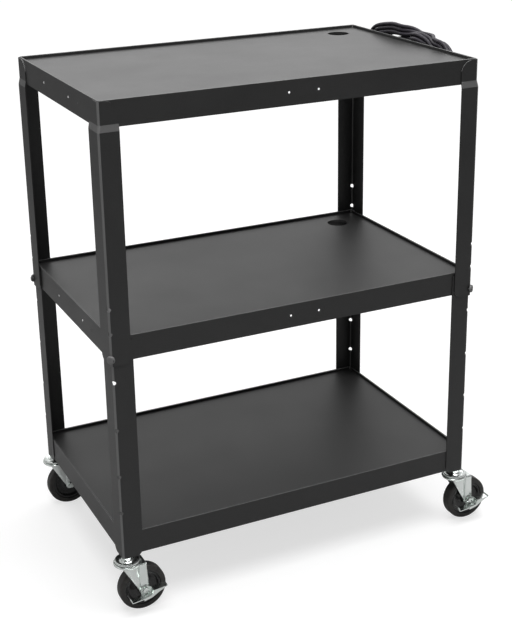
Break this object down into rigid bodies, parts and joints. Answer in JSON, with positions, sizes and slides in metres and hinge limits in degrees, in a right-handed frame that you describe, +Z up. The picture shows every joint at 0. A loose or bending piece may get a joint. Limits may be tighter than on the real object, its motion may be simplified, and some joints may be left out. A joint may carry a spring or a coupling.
{
  "type": "height adjustable cart",
  "caption": "Steel cart with raised-rim trays on telescoping angle legs, swivel casters with brake pedals in front and a cord hank on the right side.",
  "frame": {"origin": "on the floor, under the middle of the frame", "axes": "+X to the right along the long side, +Y to the back, +Z up; the braked casters are in front at -Y"},
  "size_m": [0.8983, 0.5524, 1.097],
  "materials": {
    "black_coat": "fine textured black powder coat",
    "zinc_plate": "bright zinc plate, pressed and slightly uneven",
    "tread_rubber": "black moulded tread, satin",
    "core_plastic": "black moulded core, semi-gloss",
    "black_plastic": "black moulded plastic",
    "outlet_plastic": "dark moulded plastic",
    "cord_jacket": "black rubbery cord jacket, dull sheen"
  },
  "bodies": {
    "lower_frame": {"bottom_shelf": "black_coat", "middle_shelf": "black_coat", "middle_grommet": "black_plastic", "height_nuts": "zinc_plate", "lower_leg_front_left": "black_coat", "caster_socket_front_left": "black_coat", "caster_stem_front_left": "zinc_plate", "lower_leg_front_right": "black_coat", "caster_socket_front_right": "black_coat", "caster_stem_front_right": "zinc_plate", "lower_leg_rear_left": "black_coat", "caster_socket_rear_left": "black_coat", "caster_stem_rear_left": "zinc_plate", "lower_leg_rear_right": "black_coat", "caster_socket_rear_right": "black_coat", "caster_stem_rear_right": "zinc_plate"},
    "upper_frame": {"top_shelf": "black_coat", "top_grommet": "black_plastic", "height_bolts": "black_coat", "outlet_box": "black_coat", "outlets": "outlet_plastic", "box_screws": "black_coat", "cord_hooks": "black_coat", "cord_gland": "black_plastic", "cord_hank": "cord_jacket", "cord_lead": "cord_jacket", "cord_tail": "cord_jacket", "cord_plug": "black_plastic", "upper_leg_front_left": "black_coat", "upper_leg_front_right": "black_coat", "upper_leg_rear_left": "black_coat", "upper_leg_rear_right": "black_coat"},
    "swivel_front_left": {"caster_fork_front_left": "zinc_plate", "axle_front_left": "zinc_plate"},
    "wheel_front_left": {"wheel_core_front_left": "core_plastic", "wheel_tread_front_left": "tread_rubber"},
    "brake_front_left": {"brake_pedal_front_left": "zinc_plate"},
    "swivel_front_right": {"caster_fork_front_right": "zinc_plate", "axle_front_right": "zinc_plate"},
    "wheel_front_right": {"wheel_core_front_right": "core_plastic", "wheel_tread_front_right": "tread_rubber"},
    "brake_front_right": {"brake_pedal_front_right": "zinc_plate"},
    "swivel_rear_left": {"caster_fork_rear_left": "zinc_plate", "axle_rear_left": "zinc_plate"},
    "wheel_rear_left": {"wheel_core_rear_left": "core_plastic", "wheel_tread_rear_left": "tread_rubber"},
    "swivel_rear_right": {"caster_fork_rear_right": "zinc_plate", "axle_rear_right": "zinc_plate"},
    "wheel_rear_right": {"wheel_core_rear_right": "core_plastic", "wheel_tread_rear_right": "tread_rubber"}
  },
  "joints": [
    {"name": "height_adjust", "type": "slide", "parent": "lower_frame", "child": "upper_frame", "axis": [0, 0, 1], "range_m": [-0.4064, 0]},
    {"name": "swivel_front_left", "type": "hinge", "parent": "lower_frame", "child": "swivel_front_left", "pos_m": [-0.3959, -0.2434, 0.11], "axis": [0, 0, 1], "continuous": true},
    {"name": "roll_front_left", "type": "hinge", "parent": "swivel_front_left", "child": "wheel_front_left", "pos_m": [-0.3679, -0.2434, 0.05], "axis": [0, 1, 0], "continuous": true},
    {"name": "brake_front_left", "type": "hinge", "parent": "swivel_front_left", "child": "brake_front_left", "pos_m": [-0.3679, -0.2434, 0.05], "axis": [0, 1, 0], "range_deg": [0, 15]},
    {"name": "swivel_front_right", "type": "hinge", "parent": "lower_frame", "child": "swivel_front_right", "pos_m": [0.3959, -0.2434, 0.11], "axis": [0, 0, 1], "continuous": true},
    {"name": "roll_front_right", "type": "hinge", "parent": "swivel_front_right", "child": "wheel_front_right", "pos_m": [0.4239, -0.2434, 0.05], "axis": [0, 1, 0], "continuous": true},
    {"name": "brake_front_right", "type": "hinge", "parent": "swivel_front_right", "child": "brake_front_right", "pos_m": [0.4239, -0.2434, 0.05], "axis": [0, 1, 0], "range_deg": [0, 15]},
    {"name": "swivel_rear_left", "type": "hinge", "parent": "lower_frame", "child": "swivel_rear_left", "pos_m": [-0.3959, 0.2434, 0.11], "axis": [0, 0, 1], "continuous": true},
    {"name": "roll_rear_left", "type": "hinge", "parent": "swivel_rear_left", "child": "wheel_rear_left", "pos_m": [-0.3679, 0.2434, 0.05], "axis": [0, 1, 0], "continuous": true},
    {"name": "swivel_rear_right", "type": "hinge", "parent": "lower_frame", "child": "swivel_rear_right", "pos_m": [0.3959, 0.2434, 0.11], "axis": [0, 0, 1], "continuous": true},
    {"name": "roll_rear_right", "type": "hinge", "parent": "swivel_rear_right", "child": "wheel_rear_right", "pos_m": [0.4239, 0.2434, 0.05], "axis": [0, 1, 0], "continuous": true}
  ]
}
